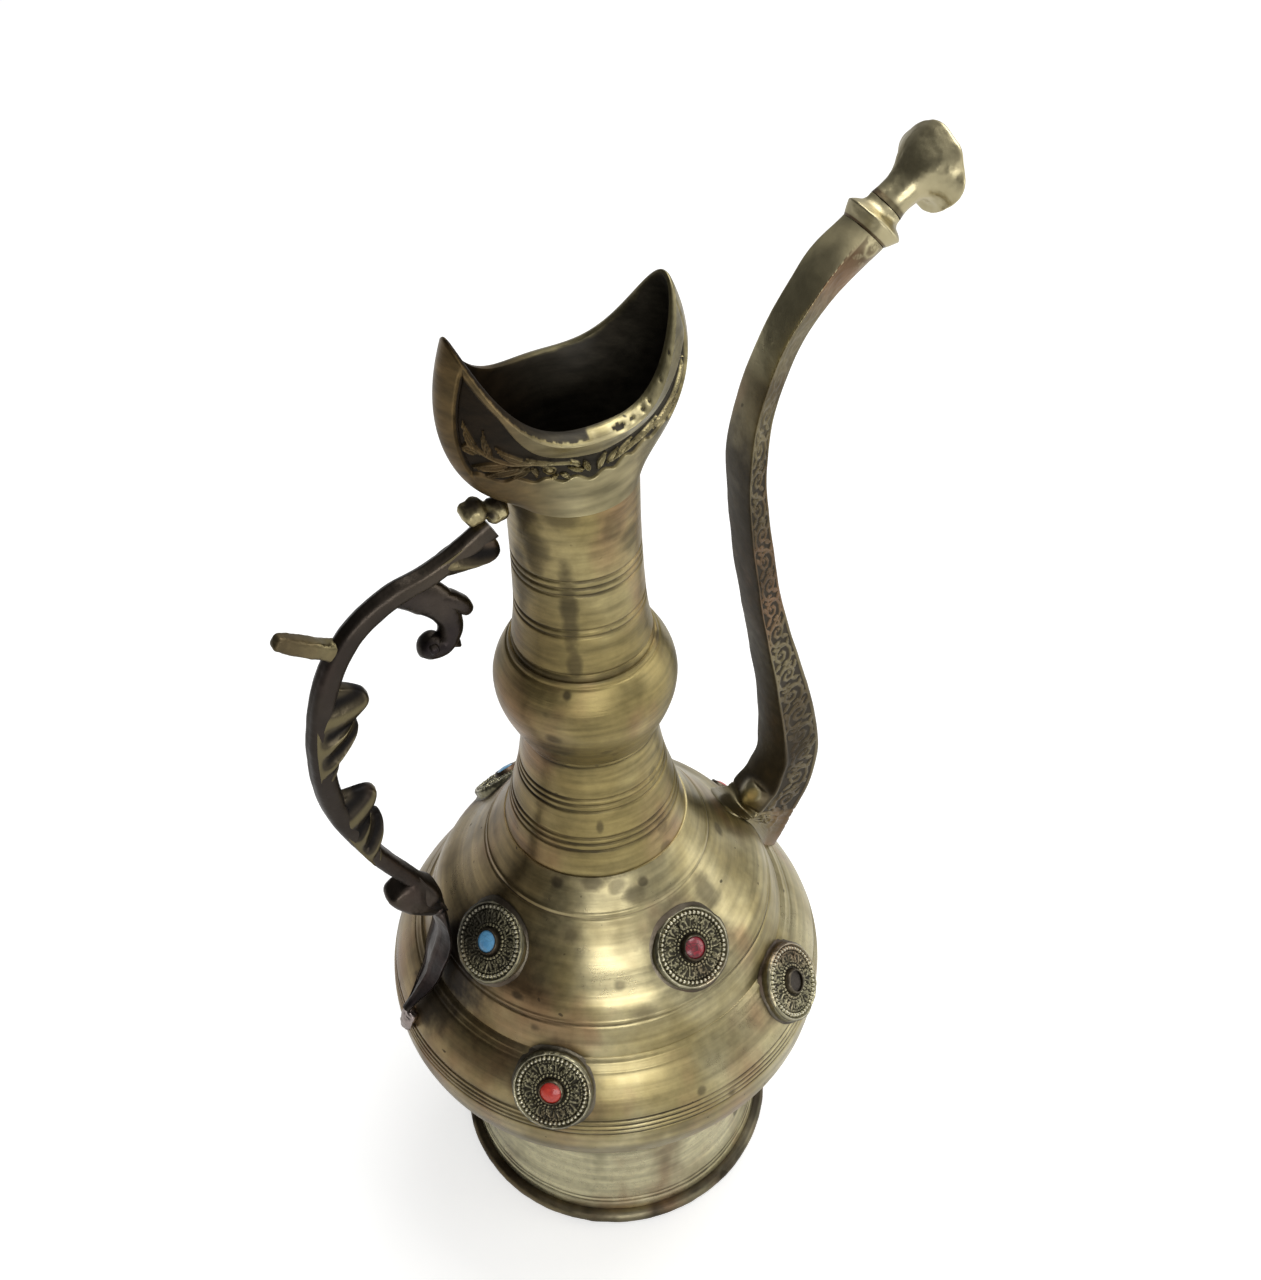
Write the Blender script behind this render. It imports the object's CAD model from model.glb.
import bpy
import math
import random
import numpy as np
from mathutils import Matrix, Vector


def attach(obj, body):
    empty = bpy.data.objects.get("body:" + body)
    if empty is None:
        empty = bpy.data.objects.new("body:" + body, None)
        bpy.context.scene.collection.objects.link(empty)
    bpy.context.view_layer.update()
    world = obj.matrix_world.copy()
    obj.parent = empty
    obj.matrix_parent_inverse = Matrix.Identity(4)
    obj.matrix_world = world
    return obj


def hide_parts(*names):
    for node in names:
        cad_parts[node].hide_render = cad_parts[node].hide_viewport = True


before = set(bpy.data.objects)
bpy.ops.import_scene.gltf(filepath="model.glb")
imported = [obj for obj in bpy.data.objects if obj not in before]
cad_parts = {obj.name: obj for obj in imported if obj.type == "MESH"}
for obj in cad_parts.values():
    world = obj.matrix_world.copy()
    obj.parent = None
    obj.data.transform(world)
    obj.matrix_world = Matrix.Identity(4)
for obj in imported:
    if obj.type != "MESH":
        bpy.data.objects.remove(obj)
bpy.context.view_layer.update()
bpy.ops.object.select_all(action="DESELECT")
mm = 0.001


# ---- Camera, floor and lamps ----
# The ewer stands on a pale floor and is seen from well above, over its front left.
# Three large soft lamps light it from the front, the right and above, and the metal shows
# the pale surroundings, which are darker on the left.
class Net:
    """Adds nodes to a shader tree, and feeds them numbers, colours and other sockets."""

    def __init__(self, tree):
        self.tree = tree

    def feed(self, node, values):
        for key, value in values.items():
            socket = node.inputs[key]
            if isinstance(value, bpy.types.NodeSocket):
                self.tree.links.new(value, socket)
            else:
                is_colour = socket.type == "RGBA" and isinstance(value, tuple)
                socket.default_value = (*value, 1) if is_colour else value

    def add(self, kind, values=None, **settings):
        made = self.tree.nodes.new("ShaderNode" + kind)
        for name, value in settings.items():
            setattr(made, name, value)
        self.feed(made, values or {})
        return made

    def here(self):
        """The place on the piece: its Object coordinates."""
        return self.add("TexCoord").outputs["Object"]

    def math(self, operation, *values, clamp=False):
        made = self.add("Math", dict(enumerate(values)), operation=operation, use_clamp=clamp)
        return made.outputs[0]

    def times(self, first, second, clamp=False):
        return self.math("MULTIPLY", first, second, clamp=clamp)

    def times_plus(self, first, second, third, clamp=False):
        return self.math("MULTIPLY_ADD", first, second, third, clamp=clamp)

    def vector(self, operation, *values):
        """The vector that an operation gives, or the number, where it gives one."""
        made = self.add("VectorMath", dict(enumerate(values)), operation=operation)
        return made.outputs["Vector" if operation == "ADD" else "Value"]

    def span(self, value, low, high, at_low=0.0, at_high=1.0, kind="SMOOTHSTEP"):
        """at_low below low, at_high above high, and a step between them."""
        made = self.add("MapRange", {"Value": value, "From Min": low, "From Max": high,
                                     "To Min": at_low, "To Max": at_high}, interpolation_type=kind)
        return made.outputs["Result"]

    def between(self, factor, under, over):
        """A number between two numbers."""
        return self.add("Mix", {0: factor, 2: under, 3: over}).outputs[0]

    def mix(self, factor, under, over, blend="MIX"):
        """A colour made of two colours."""
        made = self.add("Mix", {0: factor, 6: under, 7: over}, data_type="RGBA", blend_type=blend)
        return made.outputs[2]

    def noise(self, vector, scale, detail=3.0, rough=0.55, **fourth):
        """Noise in space, or in four dimensions where W is given."""
        made = self.add("TexNoise", {"Vector": vector, "Scale": scale, "Detail": detail,
                                     "Roughness": rough, **fourth},
                        noise_dimensions="4D" if fourth else "3D")
        return made.outputs["Fac"]

    def stretched(self, vector, stretch, shift=(0, 0, 0)):
        values = {"Vector": vector, "Scale": stretch, "Location": shift}
        return self.add("Mapping", values).outputs["Vector"]


def new_paint(name):
    """A new material, what adds nodes to it, and its shader."""
    made = bpy.data.materials.new(name)
    made.use_nodes = True
    return made, Net(made.node_tree), made.node_tree.nodes["Principled BSDF"]


def soft_lamp(name, place, size, watts):
    """A rectangular lamp that shines on the middle of the ewer."""
    data = bpy.data.lights.new(name, "AREA")
    data.shape = "RECTANGLE"
    data.size, data.size_y = size
    data.energy = watts
    lamp = bpy.data.objects.new(name, data)
    lamp.location = place
    aim = Vector((0, 0, 0.15)) - Vector(place)
    lamp.rotation_euler = aim.to_track_quat("-Z", "Y").to_euler()
    scene.collection.objects.link(lamp)


scene = bpy.context.scene
scene.view_settings.view_transform = "Standard"

camera_data = bpy.data.cameras.new("camera")
camera_data.sensor_width = 36
camera_data.lens = 43.31
camera = bpy.data.objects.new("camera", camera_data)
camera.location = (-0.11097, -0.24923, 0.47494)
camera.rotation_euler = [math.radians(degrees) for degrees in (45.843, 1.826, -28.218)]
scene.collection.objects.link(camera)
scene.camera = camera

soft_lamp("lamp_front", (-0.36, -1.12, 0.50), (0.75, 0.5), 4.0)
soft_lamp("lamp_right", (1.0, -0.50, 0.40), (0.45, 0.9), 2.3)
soft_lamp("lamp_above", (0.35, 0.15, 1.15), (0.8, 0.6), 6)

world = bpy.data.worlds.new("studio")
scene.world = world
world.use_nodes = True
net = Net(world.node_tree)
path = net.add("LightPath").outputs
direction = net.add("TexCoord").outputs["Generated"]
upwards = net.add("SeparateXYZ", {0: direction}).outputs["Z"]
rightwards = net.vector("DOT_PRODUCT", direction, (0.88, -0.47, 0.0))
plain = net.times(net.span(upwards, -0.1, 0.9, 0.22, 0.50),
                  net.span(rightwards, -0.9, 0.6, 0.5, 1.1))
mirrored = net.times(net.span(upwards, -0.1, 0.9, 0.42, 0.62),
                     net.span(rightwards, -0.8, 0.5, 0.12, 1.1))
glossy = net.math("MAXIMUM", path["Is Glossy Ray"], path["Is Transmission Ray"])
unseen = net.between(glossy, plain, mirrored)
net.feed(world.node_tree.nodes["Background"], {
    "Color": (1, 1, 1), "Strength": net.between(path["Is Camera Ray"], unseen, 1.0)})

bpy.ops.mesh.primitive_circle_add(vertices=96, radius=4, fill_type="NGON")
floor = bpy.context.object
floor.name = "floor"
floor_paint, net, shader = new_paint("pale_floor")
path = net.add("LightPath").outputs
seen_floor = net.span(net.vector("LENGTH", net.here()), 0.6, 3.0, 0.55, 0.9)
mirrored_floor = net.between(path["Is Glossy Ray"], 0.0, 0.14)
net.feed(shader, {
    "Base Color": (0.82, 0.82, 0.81), "Roughness": 0.75, "Specular IOR Level": 0.2,
    "Emission Color": (1, 1, 1),
    "Emission Strength": net.between(path["Is Camera Ray"], mirrored_floor, seen_floor)})
floor.data.materials.append(floor_paint)


# ---- Foot ring ----
# The thick bead that the ewer stands on is drawn brass, black with dirt where it meets
# the foot, and rubbed bright and pitted on its outer edge.
def new_group(name, inputs, outputs):
    """A shader node group, from its inputs' values and its outputs' kinds. Returns what adds
    nodes to it, its inputs' sockets and its output node."""
    tree = bpy.data.node_groups.new(name, "ShaderNodeTree")
    for label, value in inputs.items():
        is_colour = isinstance(value, tuple)
        made = tree.interface.new_socket(label, in_out="INPUT", socket_type="NodeSocket" + (
            "Color" if is_colour else "Float"))
        made.default_value = (*value, 1) if is_colour else value
    for label, kind in outputs.items():
        tree.interface.new_socket(label, in_out="OUTPUT", socket_type="NodeSocket" + kind)
    return Net(tree), tree.nodes.new("NodeGroupInput").outputs, tree.nodes.new("NodeGroupOutput")


# Old brass: golden where it is rubbed, olive and brown where it has dulled, with black
# spots, coppery stains and fine dark specks.
net, given, result = new_group("old_brass", {
    "Bright": (0.56, 0.49, 0.28), "Dull": (0.38, 0.31, 0.14), "Dark": (0.055, 0.043, 0.028),
    "Copper": (0.36, 0.20, 0.11), "Tarnish": 0.5, "Spots": 0.5, "Recess": 0.0, "Polish": 0.5,
    "Seed": 0.0}, {"Colour": "Color", "Roughness": "Float"})
old_brass = net.tree
moved = net.vector("ADD", net.here(), given["Seed"])
broad = net.noise(moved, 20, 2)
patches = net.noise(net.stretched(moved, (1, 1, 0.75)), 60, 3, 0.5)
grain = net.noise(moved, 420, 3, 0.6)
dull = net.span(net.times_plus(broad, 0.55, net.times(patches, 0.45)), 0.40, 0.60)
colour = net.mix(dull, given["Bright"], given["Dull"])
copper = net.noise(net.stretched(moved, (1, 1, 0.6), (3, 1, 2)), 34, 3, 0.6)
colour = net.mix(net.times(net.span(copper, 0.50, 0.70), 0.6), colour, given["Copper"])
runs = net.noise(net.stretched(moved, (1, 1, 0.45), (9, 4, 1)), 30, 4)
brown = net.span(net.times_plus(patches, 0.6, net.times(runs, 0.4)), 0.46, 0.78)
brown = net.times(brown, given["Tarnish"], clamp=True)
drops = net.add("TexVoronoi", {"Vector": moved, "Scale": 62.0}).outputs
wet = net.times_plus(net.noise(moved, 300, 2), 0.09, drops["Distance"])
drop_size = net.add("SeparateColor", {0: drops["Color"]}).outputs[0]
dry = net.span(wet, net.times_plus(drop_size, 0.10, 0.045),
               net.times_plus(drop_size, 0.10, 0.125))
spots = net.times(net.math("SUBTRACT", 1.0, dry), 0.8)
specks = net.span(net.noise(moved, 340, 1, 0.4), 0.77, 0.82)
marks = net.times(net.math("MAXIMUM", spots, specks), given["Spots"], clamp=True)
dirt = net.math("MAXIMUM", net.math("MAXIMUM", brown, marks), given["Recess"])
dirt = net.math("MINIMUM", dirt, 1.0)
colour = net.mix(dirt, colour, given["Dark"])
shade = net.span(grain, 0.3, 0.7, 0.86, 1.08, kind="LINEAR")
rough = net.times_plus(dull, 0.10, net.times_plus(given["Polish"], -0.26, 0.44))
rough = net.times_plus(dirt, 0.30, rough)
rough = net.times_plus(net.math("SUBTRACT", grain, 0.5), 0.20, rough, clamp=True)
net.feed(result, {"Colour": net.mix(1.0, colour, shade, "MULTIPLY"), "Roughness": rough})

# The fine marks that a lathe and a cloth leave, as rings round the Z axis, and the side
# towards the handle, where no hand has rubbed.
net, given, result = new_group("turned_marks", {}, {
    "Height": "Float", "Streak": "Float", "Handle side": "Float"})
turned_marks = net.tree
axes = net.add("SeparateXYZ", {0: net.here()}).outputs
radius = net.math("SQRT", net.math("ADD", net.times(axes["X"], axes["X"]),
                                   net.times(axes["Y"], axes["Y"])))
spread = net.math("MAXIMUM", radius, 0.001)
cosine, sine = net.math("DIVIDE", axes["X"], spread), net.math("DIVIDE", axes["Y"], spread)
rings = net.add("CombineXYZ", {"X": net.times(radius, 1500), "Y": net.times(cosine, 1.6),
                               "Z": net.times(sine, 1.6)}).outputs[0]
along = net.times(axes["Z"], 1500)
streak = net.noise(net.stretched(rings, (0.3, 0.7, 0.7)), 1.0, 2.0, 0.5, W=net.times(along, 0.3))
towards = net.times_plus(cosine, -0.966, net.times(sine, 0.26))
net.feed(result, {"Height": net.noise(rings, 1.0, 3.0, 0.65, W=along), "Streak": streak,
                  "Handle side": net.span(net.times_plus(streak, 0.3, towards), 0.25, 1.15)})


def brass(name, turned=True, bump=0.00004, relief=None, polish=0.5, streaks=0.35,
          rubbed=(0.60, 0.53, 0.31), stains=(), unrubbed=0.75, **values):
    """A brass material: old brass, with turned marks or a fine cast skin, and dirt in its relief.
    relief is where the dirt begins and is full, and how bright the raised parts are rubbed.
    Each stain is (place, half width, half height, amount), with its lengths in metres."""
    made, net, shader = new_paint(name)
    old = net.add("Group", {"Polish": polish, **values}, node_tree=old_brass)
    here = net.here()
    colour = old.outputs["Colour"]
    skin = net.noise(here, 900, 3, 0.6)
    hollow = 0.0
    if relief:
        begins, full, shine = relief
        depth = net.add("Attribute", attribute_name="relief").outputs["Fac"]
        hollow = net.times_plus(net.noise(here, 260, 2), 0.35, net.math("SUBTRACT", 0.83, depth))
        hollow = net.span(hollow, begins, full)
        if shine == 0:                                 # turned brass, whose dirt is patchy
            hollow = net.times(hollow, net.span(net.noise(here, 45, 3), 0.25, 0.75))
        colour = net.mix(net.times(net.span(depth, 0.72, 1.0), shine), colour, rubbed)
    wavy = net.noise(here, 190, 3)
    for place, half_width, half_height, amount in stains:
        stretch = (1 / half_width, 1 / half_width, 1 / half_height)
        off = net.stretched(here, stretch, [-p * k for p, k in zip(place, stretch)])
        away = net.times_plus(wavy, 1.1, net.vector("LENGTH", off))
        hollow = net.math("MAXIMUM", hollow, net.span(away, 0.95, 1.75, amount, 0.0))
    if relief or stains:
        net.feed(old, {"Recess": hollow})
    if turned:
        marks = net.add("Group", node_tree=turned_marks).outputs
        wash = net.span(marks["Streak"], 0.3, 0.7, 1 - streaks, 1 + 0.4 * streaks, kind="LINEAR")
        colour = net.mix(1.0, colour, wash, "MULTIPLY")
        brown = net.times(marks["Handle side"], unrubbed)
        colour = net.mix(brown, colour, (0.46, 0.34, 0.24), "MULTIPLY")
        skin = net.times_plus(skin, 0.25, marks["Height"])
    bumped = net.add("Bump", {"Strength": 1.0, "Distance": bump, "Height": skin})
    net.feed(shader, {
        "Base Color": colour, "Metallic": 1.0, "Roughness": old.outputs["Roughness"],
        "Coat Weight": 0.12, "Coat Roughness": 0.3, "Normal": bumped.outputs["Normal"]})
    return made


def bump_at(distance, width):
    """1 where the distance is 0, falling away smoothly over the width."""
    return np.exp(-(distance / width) ** 2)


def smooth_line(points, pieces):
    """The curve through every point, with so many pieces between two points."""
    line = []
    last = len(points) - 1
    for i in range(last):
        a, b, c, d = (np.array(points[k], float)
                      for k in (max(i - 1, 0), i, i + 1, min(i + 2, last)))
        for t in np.arange(pieces) / pieces:
            line.append(b + 0.5 * t * ((c - a) + t * ((2 * a - 5 * b + 4 * c - d)
                                                      + t * (3 * (b - c) + d - a))))
    return np.array(line + [np.array(points[last], float)])


def corners(piece):
    """The corners of a piece, a row of X, Y and Z for each, in metres."""
    points = np.empty(len(piece.data.vertices) * 3)
    piece.data.vertices.foreach_get("co", points)
    return points.reshape(-1, 3)


def mark_relief(piece, relief):
    """Keeps how far each corner stands out, from 0 in a hollow to 1, for the brass to read."""
    piece.data.attributes.new("relief", "FLOAT", "POINT").data.foreach_set("value", relief)


def alone(piece, *others):
    """Selects a piece, and any others with it, and makes it the active one."""
    bpy.ops.object.select_all(action="DESELECT")
    for each in (piece, *others):
        each.select_set(True)
    bpy.context.view_layer.objects.active = piece


def made_whole(merge=None):
    """Merges the active piece's corners that are nearer than merge, and turns its faces out."""
    bpy.ops.object.mode_set(mode="EDIT")
    bpy.ops.mesh.select_all(action="SELECT")
    if merge:
        bpy.ops.mesh.remove_doubles(threshold=merge)
    bpy.ops.mesh.normals_make_consistent(inside=False)
    bpy.ops.object.mode_set(mode="OBJECT")


def turn(name, outline, steps=200):
    """Spins a closed outline of (radius, height) in millimetres round the Z axis."""
    bpy.ops.object.select_all(action="DESELECT")
    bpy.ops.mesh.primitive_circle_add(vertices=len(outline), radius=1)
    piece = bpy.context.object
    piece.name = piece.data.name = name
    for corner, (radius, height) in zip(piece.data.vertices, outline):
        corner.co = (radius * mm, 0, height * mm)
    bpy.ops.object.mode_set(mode="EDIT")
    bpy.ops.mesh.select_all(action="SELECT")
    bpy.ops.mesh.spin(steps=steps, angle=math.tau, center=(0, 0, 0), axis=(0, 0, 1))
    made_whole(merge=0.00001)
    return piece


def dress(piece, material, slot, *nodes, angle=35):
    """Gives a finished piece its material, and puts it in the place of its plain solids."""
    piece.data.materials.clear()
    piece.data.materials.append(material)
    alone(piece)
    bpy.ops.object.shade_smooth_by_angle(angle=math.radians(angle))
    if nodes:
        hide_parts(*nodes)
    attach(piece, "root")


def dented(piece, depth, size):
    """Slight unevenness from hammering and years of use, as real shape."""
    texture = bpy.data.textures.new(piece.name + "_dents", "CLOUDS")
    texture.noise_scale = size * mm
    bpy.context.view_layer.objects.active = piece
    press = piece.modifiers.new("dents", "DISPLACE")
    press.texture = texture
    press.texture_coords = "LOCAL"
    press.strength = depth * mm
    press.mid_level = 0.5
    bpy.ops.object.modifier_apply(modifier=press.name)


def grimed(piece, *lines):
    """Marks the hollows of a turned piece for its dirt: lines are (height, half width)."""
    level = corners(piece)[:, 2] / mm
    relief = np.ones(len(level))
    for height, half in lines:
        relief = np.minimum(relief, 1 - bump_at(level - height, half))
    mark_relief(piece, relief)


FOOT_R = 50
RIM_H = 5
BEAD_R = RIM_H / 2
ring_outline = [(FOOT_R - 5.6, 0.25), (FOOT_R - 5.3, 0), (FOOT_R - 2.6, 0)]
ring_outline += [
    (FOOT_R - BEAD_R + BEAD_R * math.sin(round_by), BEAD_R - BEAD_R * math.cos(round_by))
    for round_by in np.linspace(0.15, math.pi - 0.15, 14)]
ring_outline += [(FOOT_R - 2.7, RIM_H), (FOOT_R - 5.4, RIM_H), (FOOT_R - 5.8, RIM_H - 0.5)]
foot_ring = turn("ewer_foot_ring", ring_outline, 256)
dented(foot_ring, 0.35, 4)
grimed(foot_ring, (RIM_H, 0.9))
rim_brass = brass("rim_brass", relief=(0.3, 0.9, 0), Dull=(0.16, 0.14, 0.09),
                  Bright=(0.33, 0.29, 0.18), Tarnish=1.1, Spots=1.0, polish=0.35, Seed=2.0)
dress(foot_ring, rim_brass, "dark_brass", "foot_ring")


# ---- Foot ----
# A flared cup of turned brass under the belly, 47 mm high with its ring, soldered to the
# belly at its narrow top.
FOOT_H = 47
WALL = 1.6


def lengths(line):
    """How far along a chain of points each of them is, in two or three dimensions."""
    return np.concatenate([[0], np.cumsum(np.linalg.norm(np.diff(line, axis=0), axis=1))])


def shell(line, cuts, step=1.1):
    """A wall that follows a smooth line, with turned grooves at the heights given.
    Each cut is (height, depth, half width); a raised bead has a negative depth."""
    line = np.array(line, float)
    run = lengths(line)
    cuts = [(np.interp(height, line[:, 1], run), depth, half) for height, depth, half in cuts]
    places = set(np.linspace(0, run[-1], int(run[-1] / step) + 2).round(3))
    for centre, depth, half in cuts:
        places |= {round(p, 3) for p in centre + half * np.linspace(-2, 2, 11) if 0 < p < run[-1]}
    places = np.array(sorted(places))
    radius, height = np.interp(places, run, line[:, 0]), np.interp(places, run, line[:, 1])
    slope_r, slope_z = np.gradient(radius, places), np.gradient(height, places)
    length = np.hypot(slope_r, slope_z)
    out_r, out_z = slope_z / length, -slope_r / length
    sunk = sum((depth * bump_at(places - centre, half) for centre, depth, half in cuts),
               np.zeros(len(places)))
    outside = np.stack([radius - out_r * sunk, height - out_z * sunk], axis=1)
    coarse = np.linspace(0, len(places) - 1, max(4, int(run[-1] / 4))).astype(int)
    inside = np.stack([radius[coarse] - WALL * np.hypot(1, slope_r / slope_z)[coarse],
                       height[coarse]], axis=1)[::-1]
    return [tuple(point) for point in outside] + [tuple(point) for point in inside]


foot_line = smooth_line([(47, RIM_H + 0.1), (45.15, 16.16), (42.5, 36), (43.1, FOOT_H)], 16)
FOOT_GROOVES = (8.2, 10.0, 44.6)
foot = turn("ewer_foot", shell(foot_line, zip(FOOT_GROOVES, (0.25, 0.18, 0.35), (0.5, 0.4, 0.6))))
dented(foot, 0.3, 16)
grimed(foot, (RIM_H, 1.0), *zip(FOOT_GROOVES, (0.7, 0.5, 0.8)), (FOOT_H, 1.2))
foot_brass = brass("foot_brass", relief=(0.3, 1.0, 0), Tarnish=0.6, Spots=0.8, polish=0.6,
                   unrubbed=0.0, Seed=0.31, Dull=(0.58, 0.52, 0.30), Bright=(0.77, 0.71, 0.46))
dress(foot, foot_brass, "body_brass", "foot")


# ---- Belly ----
# Two bowls of turned brass meet at a sharp ridge. The lower one is round, with four
# grooves under its widest place; the upper one slopes in to the neck over two fine lines.
RIDGE_Z = 104.7
NECK_Z = 148.5
SEAM_GROOVE = 49.5
BELLY_GROOVES = (84.2, 85.9, 87.5, 89.2)
SHOULDER_LINES = (114.4, 138.6)
evenly = np.linspace(0, 1, 40)
lower_line = [(43.7 + 20.5 * math.sin(math.pi / 2 * t), FOOT_H + 33 * t) for t in evenly]
lower_line += [(64.2 - 11.9 * t ** 2.2, FOOT_H + 33 + 24.7 * t) for t in evenly[1:]]
lower_cuts = [(height, 0.30, 0.42) for height in BELLY_GROOVES]
lower_cuts += [(101.7, 0.10, 0.45), (103.6, -0.16, 0.6), (SEAM_GROOVE, 0.3, 0.6)]
lower_bowl = turn("belly_lower", shell(lower_line, lower_cuts), 256)
dented(lower_bowl, 0.35, 22)

upper_line = smooth_line([
    (52.2, RIDGE_Z), (48.7, RIDGE_Z + 10), (45.7, RIDGE_Z + 16.075), (38.525, RIDGE_Z + 23.608),
    (31, RIDGE_Z + 34.3), (25.2, NECK_Z)], 16)
upper_cuts = [(SHOULDER_LINES[0], 0.24, 0.5), (115.5, -0.16, 0.5),
              (SHOULDER_LINES[1], 0.16, 0.4), (139.6, -0.18, 0.45)]
upper_bowl = turn("belly_upper", shell(upper_line, upper_cuts), 256)
dented(upper_bowl, 0.3, 22)

grimed(lower_bowl, (FOOT_H, 1.2), (SEAM_GROOVE, 0.7), *((height, 0.5) for height in BELLY_GROOVES))
grimed(upper_bowl, *zip(SHOULDER_LINES, (0.4, 0.3)))


def stain(azimuth, height, half_width, half_height, amount):
    """A stain on the body, by its direction from the middle in degrees and its height."""
    radii, heights = zip(*body_line)
    radius = float(np.interp(height, heights, radii)) * mm
    round_by = math.radians(azimuth)
    return ((radius * math.cos(round_by), radius * math.sin(round_by), height * mm),
            half_width * mm, half_height * mm, amount)


# Where drops have dried on the shoulder, soot beside the foot of the handle, and a dark
# edge round each medallion, whose direction and height are given in MEDALS
body_line = lower_line + upper_line.tolist()
belly_stains = [stain(*mark) for mark in (
    (-172, 117, 15, 24, 1.0), (-176, 100, 11, 12, 0.9), (-140, 146, 2.7, 2.4, 0.85),
    (-105, 146, 3.0, 2.6, 0.55), (-90, 145, 1.9, 1.8, 0.8), (-119, 147.5, 4.2, 3, 0.7),
    (-130, 134.5, 3.6, 3.6, 0.6), (-140, 124, 2.6, 2.8, 0.6), (-146, 119, 2.2, 1.5, 0.75),
    (-110, 124, 1.8, 1.6, 0.45), (-104, 116.5, 4.2, 3.2, 0.45), (-60, 133, 5, 10, 0.55),
    (-142, 97, 1.6, 2.2, 0.6), (-92, 92, 1.6, 1.8, 0.6), (-114, 152, 11, 5.5, 0.8),
    (-140, 152, 7, 5, 0.6), (-96, 143, 4, 3, 0.6))]
MEDALS = [(azimuth, RIDGE_Z + 21.3) for azimuth in (-163, -80, 104)]
MEDALS += [(azimuth, RIDGE_Z - 7.2) for azimuth in (-131, -53, 24, 88)]
belly_stains += [stain(azimuth, height, 14.2, 14.2, 0.7) for azimuth, height in MEDALS]
belly_brass = brass("belly_brass", relief=(0.3, 1.0, 0), stains=belly_stains, Tarnish=0.5,
                    Spots=0.75, polish=0.62, Seed=0.0)
dress(lower_bowl, belly_brass, "body_brass", "lower_bowl")
dress(upper_bowl, belly_brass, "body_brass", "upper_bowl")


# ---- Neck and knob ----
# The neck is four turned tubes: a tapering one with two sets of three grooves, the two
# cups of the hollow knob, and a straight one up to the mouth with two more sets.
KNOB_Z = NECK_Z + 34.6
KNOB_MID_Z = KNOB_Z + 18.4
KNOB_TOP_Z = KNOB_MID_Z + 13
MOUTH_Z = KNOB_TOP_Z + 48.5
LOW_GROOVES = (156.6, 158.6, 160.4, 168.6, 170.6, 172.5)
HIGH_GROOVES = (227.2, 229.2, 239.8, 241.9, 244)

neck_lower_line = smooth_line([
    (24.8, NECK_Z), (22.5, NECK_Z + 9.688), (19.8, NECK_Z + 20.068), (17.4, KNOB_Z)], 16).tolist()
knob_lower_line = [(17.4 + 5.8 * math.sin(math.pi / 2 * t) ** 1.15, KNOB_Z + 18.4 * t)
                   for t in evenly]
knob_upper_line = [(18.2 + 5 * math.cos(math.pi / 2 * t), KNOB_MID_Z + 13 * t) for t in evenly]
neck_upper_line = smooth_line([
    (17.7, KNOB_TOP_Z), (16, KNOB_TOP_Z + 12.61), (15.4, KNOB_TOP_Z + 32.01),
    (15.4, MOUTH_Z)], 16).tolist()
body_line += neck_lower_line + knob_lower_line + knob_upper_line + neck_upper_line
neck_grime = [(height, 0.75) for height in (*LOW_GROOVES, KNOB_Z, *HIGH_GROOVES)]
neck_grime += [(KNOB_TOP_Z + 0.6, 1.5)]
neck_stains = [stain(*mark) for mark in (
    (-124, 236, 2.8, 16, 0.65), (-122, 219, 2.2, 6, 0.6), (-136, 194, 5.5, 3.4, 0.6),
    (-137, 199, 2.6, 2.2, 0.6), (-128, 212, 1.4, 1.6, 0.8), (-34, 214, 2.4, 1.8, 0.7),
    (-104, 193, 2.0, 1.2, 0.5), (-150, 252, 4, 7, 0.5), (-62, 251, 4, 4, 0.45),
    (-157, 262, 4, 5, 0.7), (-126, 263, 6, 4, 0.55), (-81, 257.5, 4, 4, 0.4),
    (-152, 248, 3, 4, 0.5), (-172, 240, 4, 12, 0.55), (-112, 164, 1.2, 3.2, 0.6),
    (-150, 184, 5, 3, 0.5))]
neck_brass = brass("neck_brass", relief=(0.3, 0.95, 0), stains=neck_stains, Tarnish=0.22,
                   Seed=0.57, streaks=0.4, bump=0.00009, unrubbed=0.55,
                   Dull=(0.36, 0.285, 0.115), Bright=(0.47, 0.39, 0.185))
for name, node, line, grooves, step in (
        ("neck_lower_tube", "neck_lower", neck_lower_line, LOW_GROOVES, 0.9),
        ("knob_cup_lower", "knob_lower_cup", knob_lower_line, (184.6,), 1.1),
        ("knob_cup_upper", "knob_upper_cup", knob_upper_line, (213.2,), 1.1),
        ("neck_upper_tube", "neck_upper", neck_upper_line, (216.2, *HIGH_GROOVES), 0.9)):
    piece = turn(name, shell(line, [(height, 0.32, 0.42) for height in grooves], step), 180)
    dented(piece, 0.2, 14)
    grimed(piece, *neck_grime)
    dress(piece, neck_brass, "body_brass", node)


# ---- Mouth ----
# A cast crescent bowl with two horns. Its lip is a broad bevel, a smooth keel runs up each
# horn, and each side has a sunk frieze of vine, leaves and berries, black in its ground.
def move_corners(piece, points):
    piece.data.vertices.foreach_set("co", points.ravel())
    piece.data.update()


def rolled(name, rows, sides, place):
    """A flat grid rolled up into a closed skin. place(u, v) gives points in millimetres
    and how far they stand out of the relief, from 0 to 1."""
    bpy.ops.object.select_all(action="DESELECT")
    bpy.ops.mesh.primitive_grid_add(x_subdivisions=sides, y_subdivisions=rows, size=2)
    piece = bpy.context.object
    piece.name = piece.data.name = name
    u, v = (corners(piece)[:, axis] / 2 + 0.5 for axis in (0, 1))
    points, relief = place(u % 1.0, v)
    move_corners(piece, points * mm)
    mark_relief(piece, relief)
    made_whole(merge=0.000002)
    return piece


def step_at(value, low, high):
    """0 below low, 1 above high, and a smooth step in between."""
    t = np.clip((value - low) / (high - low), 0, 1)
    return t * t * (3 - 2 * t)


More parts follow.
